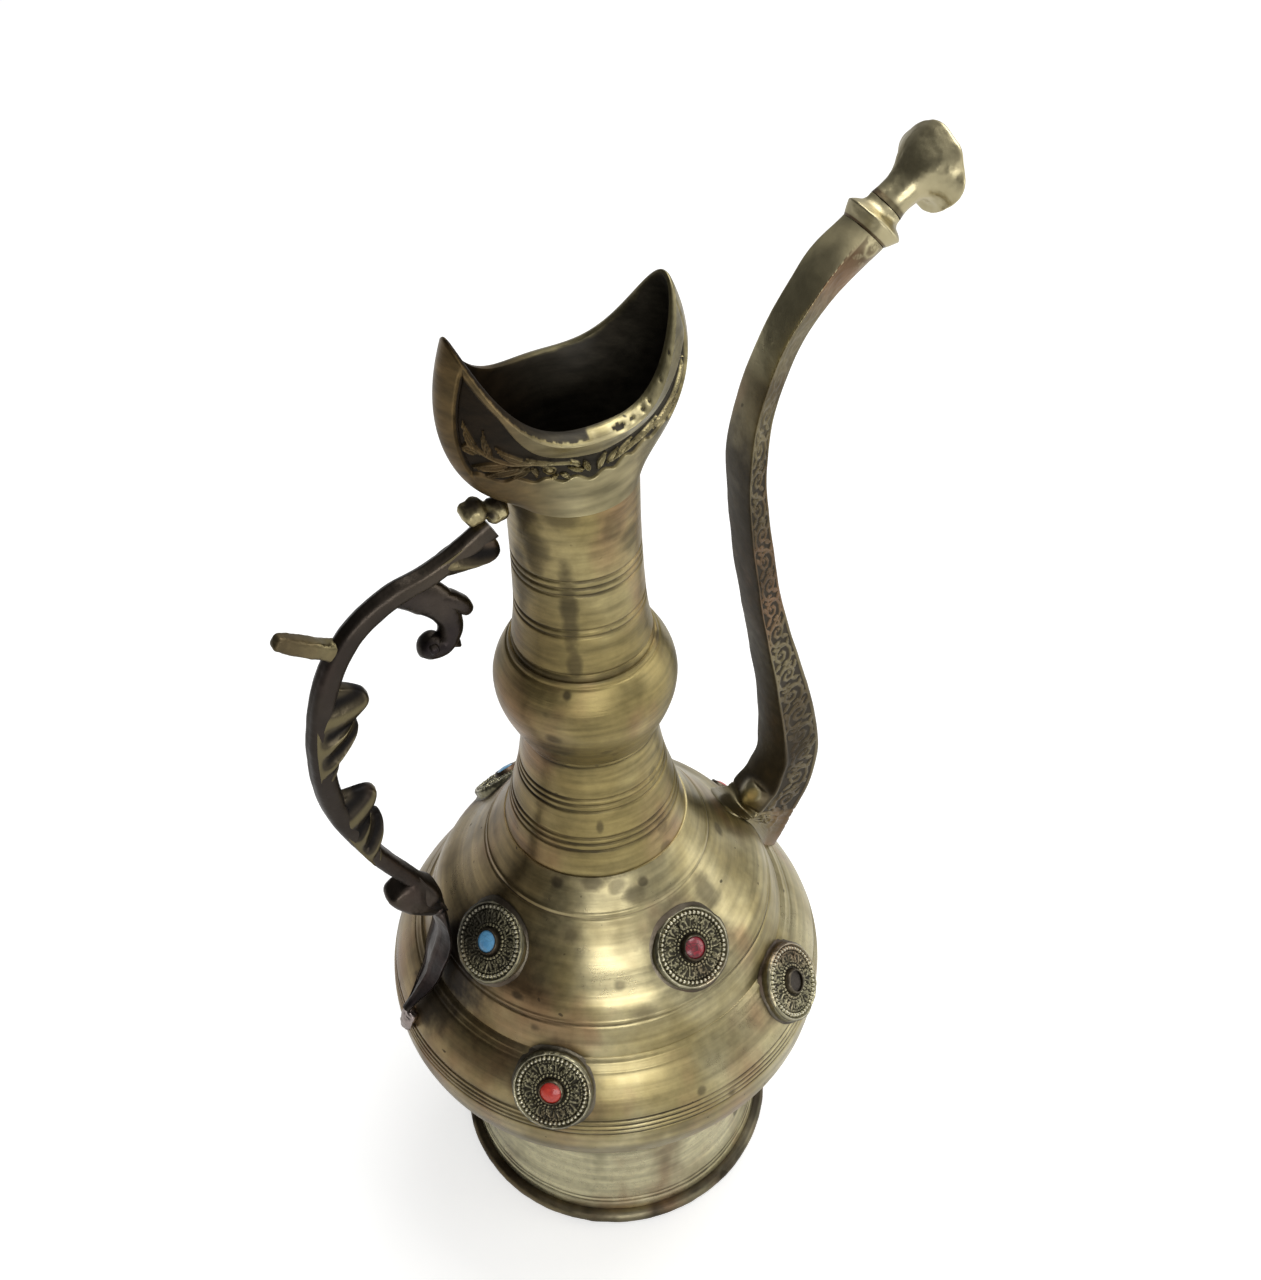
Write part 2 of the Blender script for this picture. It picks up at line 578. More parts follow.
def from_line(x, y, points):
    """Distance to a chain of points, and how far along the chain the nearest place is, 0 to 1."""
    best, share = np.full(len(x), 1e9), np.zeros(len(x))
    count = len(points) - 1
    for i in range(count):
        (ax, ay), (bx, by) = points[i], points[i + 1]
        t = np.clip(((x - ax) * (bx - ax) + (y - ay) * (by - ay))
                    / ((bx - ax) ** 2 + (by - ay) ** 2), 0, 1)
        away = np.hypot(x - ax - t * (bx - ax), y - ay - t * (by - ay))
        nearer = away < best
        best[nearer], share[nearer] = away[nearer], (i + t[nearer]) / count
    return best, share


def stem(x, y, points, width):
    """A round-backed line through a chain of points."""
    return bump_at(from_line(x, y, points)[0], width)


def leaf(x, y, root, tip, width, curl):
    """A pointed leaf with a raised rim and a vein; curl bows it to one side."""
    root, tip = np.array(root, float), np.array(tip, float)
    side = np.array([root[1] - tip[1], tip[0] - root[0]])
    middle = (root + tip) / 2 + side * curl
    spine = [tuple((1 - t) ** 2 * root + 2 * t * (1 - t) * middle + t * t * tip)
             for t in np.linspace(0, 1, 7)]
    away, share = from_line(x, y, spine)
    half = np.maximum(width / 2 * np.sin(math.pi * (0.06 + 0.94 * share) ** 0.75), 0.02)
    part = away / half
    shape = 0.45 + 0.55 * bump_at(part - 0.72, 0.24) + 0.45 * bump_at(part, 0.2)
    return shape * (1 - step_at(part, 0.9, 1.15))


def berry(x, y, centre, size):
    """A half ball with a thin wire round it."""
    away = np.hypot(x - centre[0], y - centre[1]) / size
    return np.sqrt(np.clip(1 - (away / 0.62) ** 2, 0, 1)) + 0.8 * bump_at(away - 0.92, 0.13)


def embossed(x, y, stems, leaves, berries):
    """Height of a relief, drawn with the shapes above from tables of what each one takes."""
    drawn = ((stem, stems), (leaf, leaves), (berry, berries))
    return np.max([shape(x, y, *each) for shape, table in drawn for each in table], axis=0)


def frieze(x, y):
    """Height of the frieze, 0 to 1, x along the side from its middle and y up from the neck."""
    stems = [
        ([(-24, 15.9), (-21, 14.8), (-18, 14.0), (-13.5, 14.4), (-9.7, 13.6), (-6.4, 12.6),
          (-4.8, 11.2)], 0.42),
        ([(-14, 14.2), (-16, 12.8), (-17.4, 11.2)], 0.36),
        ([(-12.6, 14.2), (-11.6, 12.8), (-11, 11.6)], 0.3),
        ([(4, 8.2), (10, 8.8), (15, 10.0), (19, 12.4), (23, 15.6), (25.4, 17.4)], 0.36)]
    leaves = [
        ((-24.0, 15.6), (-27.0, 18.6), 1.9, 0.12), ((-24.4, 15.6), (-28.0, 14.9), 1.6, -0.1),
        ((-21.4, 15.2), (-22.6, 19.2), 1.7, 0.12), ((-13.2, 14.9), (-20.3, 17.8), 2.5, 0.12),
        ((-9.6, 14.2), (-14.2, 16.9), 1.7, 0.16), ((-19.2, 13.6), (-27.2, 12.4), 2.1, 0.1),
        ((-16.4, 12.4), (-25.6, 10.6), 2.2, 0.1), ((-15.2, 11.8), (-20.4, 9.2), 1.8, 0.1),
        ((-14.2, 12.0), (-14.9, 8.0), 1.5, 0.12), ((-9.6, 8.2), (-12.2, 7.4), 1.1, 0.1),
        ((-8.8, 8.4), (-6.6, 6.6), 1.2, 0.1), ((-4.2, 10.6), (-5.6, 14.6), 1.6, 0.1),
        ((-3.4, 8.6), (-6.9, 10.4), 1.5, 0.12), ((-1.9, 8.2), (-2.9, 12.4), 1.7, 0.1),
        ((0.3, 8.2), (2.1, 13.8), 2.1, -0.08), ((3.2, 8.4), (5.9, 12.2), 1.9, -0.1),
        ((6.6, 8.4), (9.3, 14.0), 2.0, -0.1), ((9.6, 8.9), (13.4, 12.4), 1.8, -0.1),
        ((13.0, 9.4), (16.4, 15.2), 1.9, 0.1), ((18.2, 10.4), (21.6, 15.8), 2.1, 0.1),
        ((19.4, 10.2), (25.4, 13.6), 1.9, -0.1), ((21.6, 15.4), (25.6, 18.6), 1.8, -0.1)]
    berries = [((-11.0, 10.3), 1.5), ((16.2, 11.2), 1.4)]
    return np.clip(embossed(x, y, stems, leaves, berries), 0, 1)


def unit(vectors):
    """The vectors at a length of 1."""
    return vectors / (np.linalg.norm(vectors, axis=1)[:, None] + 1e-12)


def squared(value, power):
    """A sine or cosine to a power: below 1 an outline turns squarer, above 1 more pointed."""
    return np.sign(value) * np.abs(value) ** power


MOUTH_OUT = np.array([[15.4, 15.4, 0, 0], [23.9, 13.3, 15.7, 1.3],
                      [35.7, 14.3, 12.3, 20.4], [25.4, 18.7, 21.2, 43]])
MOUTH_IN = np.array([[11.8, 11.8, 0, 0], [22.2, 12.2, 16.5, 2.6],
                     [33.7, 12, 13.6, 21.5], [24.3, 14.4, 22.8, 42.7]])


def mouth_skin(rings, angle, t):
    """Points of the crescent: t runs from the neck, 0, to the lip, 1."""
    share = np.stack([(1 - t) ** 3, 3 * t * (1 - t) ** 2, 3 * t * t * (1 - t), t ** 3], axis=1)
    length, width, side_z, horn_z = (share @ rings).T
    middle, across = 4 * t * (1 - t), np.cos(angle)
    rise = (horn_z - side_z) * np.abs(across) ** (3.4 + 2.5 * middle)
    return np.stack([length * squared(across, 1 + 0.78 * middle), width * np.sin(angle),
                     MOUTH_Z + side_z + rise], axis=1)


def mouth_place(u, v):
    """The skin of the mouth: v runs up its outside, over the lip and down its inside."""
    angle = math.tau * u
    lip_v, inside_v, seat_v = 0.80, 0.855, 0.99
    t_out = np.clip(v / lip_v, 0, 1)
    on_lip = np.clip((v - lip_v) / (inside_v - lip_v), 0, 1)
    t_in = 1 - np.clip((v - inside_v) / (seat_v - inside_v), 0, 1)
    is_outside, is_lip = v < lip_v, (v >= lip_v) & (v < inside_v)
    outside = mouth_skin(MOUTH_OUT, angle, t_out)
    inside = mouth_skin(MOUTH_IN, angle, t_in)
    lip = (1 - on_lip)[:, None] * outside + on_lip[:, None] * inside
    lip[:, 2] += 0.55 * np.sin(math.pi * on_lip)
    points = np.where(is_outside[:, None], outside, np.where(is_lip[:, None], lip, inside))
    step = 1e-3
    along = (mouth_skin(MOUTH_OUT, angle + step, t_out)
             - mouth_skin(MOUTH_OUT, angle - step, t_out))
    up = (mouth_skin(MOUTH_OUT, angle, np.minimum(t_out + step, 1))
          - mouth_skin(MOUTH_OUT, angle, np.maximum(t_out - step, 0)))
    outwards = unit(np.cross(along, up))
    # Lengths along the side and up it, measured on the crescent itself
    fan = np.linspace(0, math.tau, 1441)
    run = lengths(mouth_skin(MOUTH_OUT, fan, np.full(len(fan), 0.55)))
    quarter = run[-1] / 4
    x = np.interp(angle, fan, run)
    front = angle >= math.pi
    x = np.where(front, x - 3 * quarter, x - quarter)
    y = t_out * (22.28 - 1.2 * step_at(t_out, 0.0, 1.0)) + 1.2 * t_out
    # The frieze lies between a keel on each horn, the foot of the lip and a wavy floor line
    horn_x = 28.2
    lip_foot = 19.6 - 2.3 * bump_at(x + 2, 8) + 2.3 * step_at(-x, 8, 20)
    keel = step_at(np.abs(x), horn_x, horn_x + 0.6)
    floor_line = 6.6 + 0.0056 * x ** 2 + 0.6 * np.sin(x * 0.9)
    sunk = step_at(y, floor_line - 0.5, floor_line + 0.3)
    sunk *= 1 - step_at(y, lip_foot - 0.5, lip_foot + 0.1)
    sunk *= 1 - keel
    raised = frieze(x, y) * sunk
    depth = -0.75 * sunk + 0.78 * raised
    depth -= 0.3 * bump_at(np.abs(x) - horn_x, 0.3) * step_at(y, 9, 12)
    depth *= is_outside
    points = points + outwards * depth[:, None]
    # The top of the lip is dark with grime on its left, up to a ragged edge
    ragged = 0.5 + 0.2 * np.sin(x * 2.9) + 0.15 * np.sin(x * 7.1 + 1)
    grimy = step_at(ragged - x, 0.2, 1.4) * step_at(on_lip, 0.08, 0.10 + 0.3 * ragged) * front
    lip_relief = (1 - 0.75 * step_at(on_lip, 0.5, 0.95)) * (1 - 0.9 * grimy)
    relief = np.where(is_outside, 1 - sunk + raised * sunk, np.where(is_lip, lip_relief, 0.0))
    for x_pit, size, deep in ((1.2, 0.7, 0.5), (3.4, 0.45, 0.3), (6.2, 0.5, 0.4), (8.4, 0.45, 0.3),
                              (13.5, 0.4, 0.3), (19, 0.5, 0.2)):
        pit = bump_at(np.hypot(x - x_pit, (on_lip - 0.35) * 4), size) * front
        pit *= (v >= lip_v - 0.02) & (v < inside_v)
        points[:, 2] -= deep * pit
        relief = np.where(pit > 0.3, 0.15, relief)
    return points, np.clip(relief, 0, 1)


mouth = rolled("crescent_mouth", 170, 540, mouth_place)
mouth_stains = [
    ((x * mm, y * mm, (MOUTH_Z + up) * mm), half * mm, tall * mm, amount)
    for x, y, up, half, tall, amount in (
        (-20, -9, 14, 10, 9, 0.5), (-8, -16, 18, 3, 2, 0.6), (2, -16, 19, 2.5, 1.6, 0.8),
        (21, -9, 31, 2, 3, 0.6), (-30, -4, 24, 5, 10, 0.45), (-10, -14, 4, 6, 5, 0.5),
        (16, -8, 3, 5, 5, 0.35), (-3, -16, 17, 3, 1.3, 0.75), (9, -15, 19, 2.2, 1.3, 0.75),
        (-15, -13, 19, 4, 1.6, 0.6), (15, -12, 23, 1.6, 2, 0.7), (-5, -18, 18, 4, 2.6, 0.65),
        (-14, -15.5, 19, 5, 2.6, 0.65), (5, -18, 19, 2.5, 1.8, 0.75))]
mouth_brass = brass("mouth_brass", bump=0.00007, relief=(0.42, 0.95, 0.45), stains=mouth_stains,
                    rubbed=(0.50, 0.44, 0.26), Bright=(0.36, 0.31, 0.155), streaks=0.45,
                    Dull=(0.25, 0.205, 0.095), Copper=(0.26, 0.185, 0.095), Tarnish=0.8,
                    Spots=0.9, Seed=1.13, unrubbed=0.95, Dark=(0.058, 0.050, 0.036))
dress(mouth, mouth_brass, "body_brass", "mouth_bowl", angle=50)


# ---- Spout ----
# A hollow casting soldered to the shoulder. Its face towards the neck is smooth and slightly
# domed between sharp edges; its flat sides are chased with scrolls, worn away near the top.
SPOUT_X, SPOUT_Z, SPOUT_ROOT = 48.9, 98.0, 30
belly_line = np.array(lower_line + upper_line.tolist())


def on_belly(height, across, lift=0.0):
    """Distance along X to the belly's surface at a height, off to the side by across."""
    radius = np.interp(height, belly_line[:, 1], belly_line[:, 0])
    return np.sqrt((radius + lift) ** 2 - across ** 2)


def with_tilt(line):
    """Adds the direction of travel in the XZ plane to a line of (x, z, ...)."""
    tilt = np.arctan2(np.gradient(line[:, 1]), np.gradient(line[:, 0]))
    return np.column_stack([line, np.unwrap(tilt)])


def off_line(x, y, z, tilt, away):
    """Points off a line in the XZ plane, at right angles to its direction of travel."""
    return np.stack([x - away * np.sin(tilt), y, z + away * np.cos(tilt)], axis=1)


def at_share(line, share):
    """The values in a table's columns, at a share of its length."""
    place = np.clip(share, 0, 1) * (len(line) - 1)
    return [np.interp(place, np.arange(len(line)), column) for column in line.T]


def cast_section(u):
    """A trapezium with slightly rounded corners: depth -0.5 to 0.5, breadth -1 to 1, the
    place across the face it lies on, -1 to 1, and 1 on the two flat sides."""
    marks = np.array([0, 0.22, 0.52, 0.70, 1.0])            # where each corner comes

    def on_face(u):
        face = np.clip(np.searchsorted(marks, u, side="right") - 1, 0, 3)
        return face, 2 * (u - marks[face]) / (marks[face + 1] - marks[face]) - 1

    depth = breadth = 0
    for shift, weight in ((-0.012, 0.25), (0, 0.5), (0.012, 0.25)):
        moved = (u + shift) % 1.0
        face, across = on_face(moved)
        dome = 0.08 * (1 - across ** 2) * (face % 2 == 0) * np.where(face == 0, 1, -1)
        depth = depth + weight * (np.interp(moved, marks, [0.5, 0.5, -0.5, -0.5, 0.5]) + dome)
        breadth = breadth + weight * np.interp(moved, marks, [-1, 1, 0.6, -0.6, -1])
    face, across = on_face(u)
    across = np.where(face == 3, -across, across)            # from the neck side to the back
    return depth, breadth, across, (face % 2 == 1).astype(float)


spout_route = with_tilt(smooth_line([
    (SPOUT_X + x, SPOUT_Z + z, half, thick) for x, z, half, thick in (
        (7.5, 20, 7.5, 18), (11.8, 26.5, 7.5, 15.8), (14.6, 36, 7.5, 14.2), (14.4, 47, 7.5, 12.8),
        (12.2, 62, 7.0, 11.4), (9, 77, 6.55, 9.6), (5.6, 92, 6.25, 8.1), (2.6, 107, 6.05, 7.2),
        (0.3, 122, 5.95, 6.9), (-1.5, 137, 5.85, 6.4), (-2.1, 152, 5.75, 6.2), (0.4, 167, 5.3, 6),
        (6.6, 182, 5, 6), (15.6, 193.8, 5, 6.2), (26.2, 202.8, 5, 6.8))], 24))
spout_run = lengths(spout_route[:, :2])


def spout_skin(u, share, thin=0.0):
    """Points of the spout: share runs from the belly, -1, over the root, 0, to the end, 1.
    thin is how far a wall's inner face lies inside the outer one."""
    x, z, half, thick, tilt = at_share(spout_route, share)
    depth, breadth = cast_section(u)[:2]
    angle = math.tau * np.interp((u - 0.11) % 1.0, [0, 0.26, 0.5, 0.74, 1.0],
                                 [0, 0.25, 0.5, 0.75, 1.0])
    swell = step_at(share, 0.93, 1.0)
    rounded = np.maximum(0.9 * swell, 0.7 * step_at(-share, 0.3, 1.0))
    depth = depth + rounded * (0.5 * np.cos(angle) - depth)
    breadth = breadth + rounded * (np.sin(angle) - breadth)
    flow = step_at(share, 0.88, 1.0)
    half = half * (1 + 0.025 * np.sin(share * 37) + 0.02 * np.sin(share * 71 + 1)) + 1.7 * flow
    thick = thick + 2.4 * flow
    stem_end = off_line(x, breadth * (half - thin), z, tilt, depth * (thick - 2 * thin))
    root_z = SPOUT_Z + SPOUT_ROOT / 2 + depth * (SPOUT_ROOT - 3 * thin)
    root_y = breadth * (8.0 - thin)
    root = np.stack([on_belly(root_z, root_y, 0.1), root_y, root_z], axis=1)
    centre = np.array([SPOUT_X, 0, SPOUT_Z + SPOUT_ROOT / 2])
    inwards = centre - root
    inwards /= np.linalg.norm(inwards, axis=1)[:, None]
    leave = inwards * 5 + np.array([5, 0, 0.8])
    arrive = np.array([math.cos(spout_route[0, 4]), 0, math.sin(spout_route[0, 4])]) * 16
    t = np.clip(share + 1, 0, 1)[:, None]
    curve = (root * (2 * t ** 3 - 3 * t ** 2 + 1) + leave * (t ** 3 - 2 * t ** 2 + t)
             + stem_end * (3 * t ** 2 - 2 * t ** 3) + arrive * (t ** 3 - t ** 2))
    return np.where((share < 0)[:, None], curve, stem_end)


def scrolls(run, across, half):
    """Height of the chased scrolls, 0 to 1: one volute in each cell, turned by turns."""
    cell_length = 9.0
    cell = np.floor(run / cell_length)
    x = run - cell_length * cell - cell_length / 2
    y = across * half * np.where(cell % 2 == 0, 1, -1)
    size = np.clip(half / 5.0, 0.55, 1.15)
    y = y / size + 0.5 * np.sin(cell * 2.4)
    stems = [
        ([(-4.5, -1.6), (-3.0, -3.0), (-0.4, -3.6), (2.2, -2.6), (3.0, -0.2), (2.0, 2.0),
          (-0.2, 2.6), (-1.9, 1.4), (-1.8, -0.4), (-0.4, -1.2), (0.8, -0.5)], 0.42),
        ([(2.2, -2.6), (3.4, -1.2), (4.5, 1.6)], 0.4)]
    leaves = [
        ((-2.6, 1.4), (-4.2, 4.2), 1.5, 0.1), ((0.6, 2.8), (3.4, 4.2), 1.4, 0.1),
        ((3.0, 1.0), (4.3, 3.2), 1.2, 0.1), ((-3.6, -1.8), (-3.9, 0.8), 1.2, 0.1),
        ((1.6, -3.2), (4.2, -4.0), 1.2, 0.1), ((-2.4, -3.4), (-4.2, -4.4), 1.1, 0.1)]
    return np.clip(embossed(x, y, stems, leaves, [((0.7, 0.9), 0.9)]), 0, 1)


def lifted_spout(u, share, depth):
    """The points of the spout, moved along its normal by depth."""
    step = 1e-4
    around = spout_skin((u + step) % 1.0, share) - spout_skin((u - step) % 1.0, share)
    along = (spout_skin(u, np.minimum(share + step, 1))
             - spout_skin(u, np.maximum(share - step, -1)))
    return spout_skin(u, share) + unit(np.cross(along, around)) * depth[:, None]


def spout_place(u, v):
    """The skin of the spout: v runs over its root, up its outside and back down its bore."""
    root_v, outside_v = 0.07, 0.92
    share = np.where(v < root_v, v / root_v - 1,
                     np.clip((v - root_v) / (outside_v - root_v), 0, 1))
    outside = v <= outside_v
    depth_here, breadth_here, across, flat = cast_section(u)
    place = np.clip(share, 0, 1) * (len(spout_route) - 1)
    run = np.interp(place, np.arange(len(spout_route)), spout_run) + 14 * np.minimum(share, 0)
    half = at_share(spout_route, share)[3] / 2
    worn = 1 - 0.85 * step_at(run, 128, 168)
    inside_edge = step_at(1 - np.abs(across), 0.10, 0.20) * flat
    ground = inside_edge * step_at(share, -0.75, -0.45)
    raised = scrolls(run, across, half) * ground
    depth = (-0.34 * ground + 0.40 * raised) * worn
    points = lifted_spout(u, share, depth * outside)
    # The rounded boss at the foot of the face, on the near side
    boss = np.exp(-(((run - 3.5) / 5) ** 2 + ((breadth_here + 0.3) / 0.6) ** 2) ** 2)
    boss *= (depth_here > 0.2) * outside
    points += boss[:, None] * np.array([-1.7, -0.9, 1.7])
    inner_share = 1 - 1.15 * np.clip((v - outside_v) / (1 - outside_v), 0, 1)
    points = np.where(outside[:, None], points, spout_skin(u, inner_share, 1.2))
    # The face is dark, but for the upper part, where face and sides are rubbed
    upper = step_at(share, 0.69, 0.86)
    on_face = step_at(depth_here, 0.44, 0.5) * (1 - upper)
    relief = (1 - (ground - raised) * worn) * (1 - 0.9 * on_face) * (0.72 + 0.28 * upper)
    relief = relief * (1 - 0.6 * flat * upper * (1 - step_at(share, 0.9, 1)))
    root = np.maximum(boss, 0.6 * step_at(-share, -0.03, 0.1))
    return points, np.clip(np.where(outside, np.maximum(relief, root), 0.2), 0, 1)


spout_brass = brass("spout_brass", turned=False, relief=(0.45, 1.05, 0.85), bump=0.00005,
                    rubbed=(0.60, 0.53, 0.32), Tarnish=0.9, Spots=0.6, Seed=2.2,
                    Dull=(0.13, 0.10, 0.055), Bright=(0.24, 0.20, 0.11),
                    Dark=(0.062, 0.050, 0.034))
spout = rolled("cast_spout", 640, 110, spout_place)
dented(spout, 0.25, 9)
dress(spout, spout_brass, "spout_brass", "spout", angle=50)


# ---- Spout's knop and nozzle ----
# A sharp-crested collar and a short round nozzle that flares into a lobed head, cast in
# one piece and soldered to the end of the spout.
END_X, END_Z, _, _, END_TILT = spout_route[-1]


def past_end(u, stations, lobes=0.0, edge=0.0):
    """Ring beyond the spout's end: stations hold distance, half width, half thickness and a
    turn towards level, in degrees; lobes swell four sides, edge draws out the near arris."""
    away, half, thick, levelled = stations
    way = END_TILT - np.radians(0.15 * levelled)
    tilt = END_TILT - np.radians(levelled)
    angle = math.tau * u
    from_arris = (angle - 1.75 * math.pi + math.pi) % math.tau - math.pi
    swell = 1 + lobes * (0.5 + 0.5 * np.cos(4 * angle)) + edge * bump_at(from_arris, 0.28)
    depth, breadth = np.cos(angle) * thick * swell, np.sin(angle) * half * swell
    return off_line(END_X + away * np.cos(way), breadth, END_Z + away * np.sin(way), tilt, depth)


def collar(name, outline, inner, lobes, rows, sides):
    """A hollow turned-looking casting past the spout's end, from stations along its outside
    and its inside."""
    outline, inner = smooth_line(outline, 12), smooth_line(inner, 6)

    def place(u, v):
        outside_v = 0.72
        along = np.clip(v / outside_v, 0, 1)
        out = at_share(outline, v / outside_v)
        back = at_share(inner, 1 - (v - outside_v) / (1 - outside_v))
        outside = v <= outside_v
        lobed = past_end(u, out, lobes * step_at(along, 0.45, 0.8), lobes * along)
        points = np.where(outside[:, None], lobed, past_end(u, back))
        return points, np.where(outside, 1.0 - 0.6 * bump_at(along - 0.02, 0.05), 0.1)
    return rolled(name, rows, sides, place)


knop = collar("spout_collar", [
    (0.02, 6.6, 4.7, 0), (1.0, 7.0, 5.4, 0), (2.4, 7.5, 6.4, 0), (3.2, 7.7, 6.8, 0),
    (3.9, 7.0, 6.2, 0), (4.8, 5.4, 5.0, 0.6), (5.8, 4.6, 4.5, 1.2), (7, 4.4, 4.4, 2)],
    [(0.02, 3.2, 2.8, 0), (7, 3.2, 2.8, 2)], 0.0, 90, 96)
dented(knop, 0.5, 5)
dress(knop, spout_brass, "spout_brass", "spout_knop", angle=40)

nozzle = collar("spout_head", [
    (7.15, 4.4, 4.4, 2), (9, 4.3, 4.1, 4), (11.5, 4.5, 4.1, 8), (14, 5.2, 4.5, 12),
    (16.2, 7.2, 6.2, 22), (18.0, 9.4, 8.0, 36), (19.4, 10.6, 9.0, 44), (20.2, 10.8, 9.0, 46),
    (20.8, 10.2, 8.4, 46), (21.0, 9.0, 7.4, 46)],
    [(7.15, 3.2, 2.8, 2), (14, 3.0, 2.8, 12), (18.5, 5.0, 4.2, 40), (20.9, 8.2, 6.8, 46)],
    0.10, 130, 128)
dented(nozzle, 0.5, 5)
dress(nozzle, spout_brass, "spout_brass", "spout_nozzle", angle=40)


# ---- Handle ----
# One dark bronze casting: a smooth bar that bows out from the neck and follows the belly
# down to a leaf-shaped foot, with ribbed leaves and a scroll in its inner side.
HANDLE_TOP, HANDLE_LOW, BOW = (20.4, 256.4), (63.4, 95.7), 36.6
HANDLE_RISE = HANDLE_TOP[1] - HANDLE_LOW[1]
handle_line = [(HANDLE_TOP[0] + (HANDLE_LOW[0] - HANDLE_TOP[0]) * fall + reach * BOW,
                HANDLE_TOP[1] - fall * HANDLE_RISE)
               for fall, reach in (
                   (0, 0), (0.0311, 0.24), (0.0473, 0.41), (0.056, 0.568), (0.0709, 0.705),
                   (0.0884, 0.809), (0.1108, 0.885), (0.1444, 0.951), (0.1929, 0.997), (0.2551, 1),
                   (0.3049, 0.975), (0.3671, 0.913), (0.4294, 0.814), (0.504, 0.634),
                   (0.5787, 0.421), (0.6409, 0.208), (0.7063, 0), (0.7654, -0.115),
                   (0.8307, -0.186))]
handle_line += [(float(on_belly(HANDLE_TOP[1] - HANDLE_RISE * fall, 0, 3.7)),
                 HANDLE_TOP[1] - HANDLE_RISE * fall) for fall in (0.885, 0.925, 0.965, 1)]
bar_line = with_tilt(smooth_line(handle_line, 12))
bar_run = lengths(bar_line[:, :2])
BAR_LEN = bar_run[-1]


def bar_at(run):
    """Middle of the bar and its direction at a length along it; X is away from the neck."""
    return [np.interp(run, bar_run, column) for column in bar_line.T]


def bar_size(share):
    """Half thickness and half width of the bar at a share of its length."""
    taper = 0.76 + 0.24 * np.sin(math.pi * share)
    collar = bump_at(share - 0.735, 0.022)
    leafy = step_at(share, 0.745, 0.80) * (1 - step_at(share, 0.86, 1.0))
    thick = 3.0 * taper * (1 - 0.30 * step_at(share, 0.76, 0.84)) + 0.9 * collar
    thick += 0.7 * (1 - step_at(share, 0.0, 0.06)) - 0.55 * step_at(share, 0.45, 0.62)
    width = 3.0 * taper + 2.2 * collar + 3.6 * leafy - 0.9 * step_at(share, 0.94, 1.0)
    width -= 0.35 * bump_at(share - 0.762, 0.003) + 0.3 * bump_at(share - 0.771, 0.003)
    return thick, width


def beside(run, y, away, side):
    """Points off the bar's surface, on its outer side where side is 1, in millimetres."""
    x, z, tilt = bar_at(run)
    return off_line(x, y, z, tilt, side * (bar_size(run / BAR_LEN)[0] + away))


def turned_back(points):
    """The handle is worked out towards +X and stands on the other side."""
    return points * [-1, -1, 1]


def capped(v, cap):
    """For a limb whose rounded ends each take up cap of its rows: how far along it a row is,
    how much of its full breadth the row has, and how far it is into the end."""
    into_end = 1 - np.minimum(np.minimum(v, 1 - v) / cap, 1)
    share = np.clip((v - cap) / (1 - 2 * cap), 0, 1)
    return share, np.sqrt(np.clip(1 - into_end ** 2, 0, 1)), into_end


def bar_place(u, v):
    """The skin of the handle's bar, with v along it from the neck to its foot."""
    share, close, _ = capped(v, 0.02)
    x, z, tilt = bar_at(share * BAR_LEN)
    thick, width = bar_size(share)
    angle = math.tau * u
    power = np.where(share > 0.75, 0.9, 0.72)
    depth, breadth = squared(np.cos(angle), power), squared(np.sin(angle), power)
    # The foot is a leaf: a rib down it, and a face falling away on each side to a low rim
    leafy = step_at(share, 0.765, 0.80) * (1 - step_at(share, 0.97, 1.0))
    outer = step_at(depth, 0.0, 0.3)
    rib = bump_at(breadth + 0.05, 0.09) + 0.35 * bump_at(np.abs(breadth) - 0.93, 0.05)
    hollow = leafy * outer * (0.35 + 0.5 * np.abs(breadth)) * (1 - np.minimum(rib, 1))
    # A low ridge along the outside of the bar, stronger near the neck
    ridge = 0.35 * bump_at(breadth - 0.1, 0.22) * outer * (1 - step_at(share, 0.25, 0.7))
    reach = (depth * thick + ridge - 1.5 * hollow) * close
    points = turned_back(off_line(x, -breadth * width * close, z, tilt, reach))
    rings = bump_at(share - 0.762, 0.004) + bump_at(share - 0.771, 0.004)
    near = step_at(-breadth, 0.0, 0.12) * leafy * (1 - np.minimum(rib, 1))
    relief = 1 - 0.35 * hollow - 0.7 * rings - 0.5 * near
    return points, np.clip(relief, 0.0, 1)


bronze = brass("handle_bronze", turned=False, relief=(0.45, 1.0, 0.12), bump=0.00009,
               rubbed=(0.16, 0.13, 0.072), Bright=(0.066, 0.052, 0.042),
               Dull=(0.027, 0.021, 0.022), Copper=(0.100, 0.055, 0.052),
               Dark=(0.012, 0.010, 0.010), Tarnish=0.45, Seed=3.1)
leaf_bronze = brass("leaf_bronze", turned=False, relief=(0.30, 0.95, 0.55), bump=0.00009,
                    rubbed=(0.24, 0.20, 0.10), Bright=(0.085, 0.069, 0.042),
                    Dull=(0.040, 0.032, 0.024), Copper=(0.10, 0.055, 0.052),
                    Dark=(0.012, 0.010, 0.009), Seed=3.7)
bar = rolled("handle_casting", 760, 60, bar_place)
dented(bar, 0.35, 7)
dress(bar, bronze, "dark_brass", "handle_bar", angle=50)


